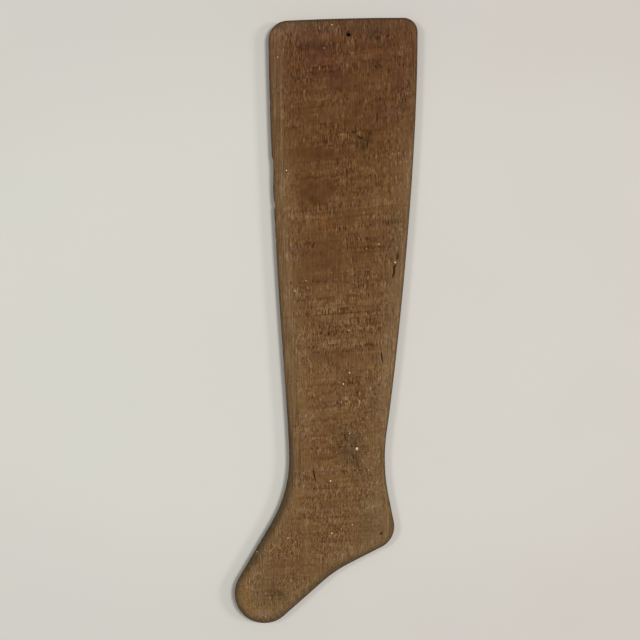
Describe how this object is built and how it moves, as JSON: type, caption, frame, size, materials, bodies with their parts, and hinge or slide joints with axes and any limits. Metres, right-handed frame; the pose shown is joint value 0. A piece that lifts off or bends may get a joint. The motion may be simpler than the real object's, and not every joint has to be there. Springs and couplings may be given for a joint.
{
  "type": "sock stretcher",
  "caption": "Flat wooden sock stretcher board with a leg-and-foot outline, shaved edges and a nail hole at the crown to hang it by; a wet stocking dries to shape on it.",
  "frame": {"origin": "centre of the board's length and width, on its back face", "axes": "+Y up the leg towards the crown, +X towards the heel side, +Z out of the sawn face"},
  "size_m": [0.1996, 0.66, 0.012],
  "materials": {
    "aged_wood": "rough-sawn face with shaved edges, unvarnished, darkened by age and handling"
  },
  "bodies": {
    "root": {"stretcher_board": "aged_wood"}
  },
  "joints": []
}
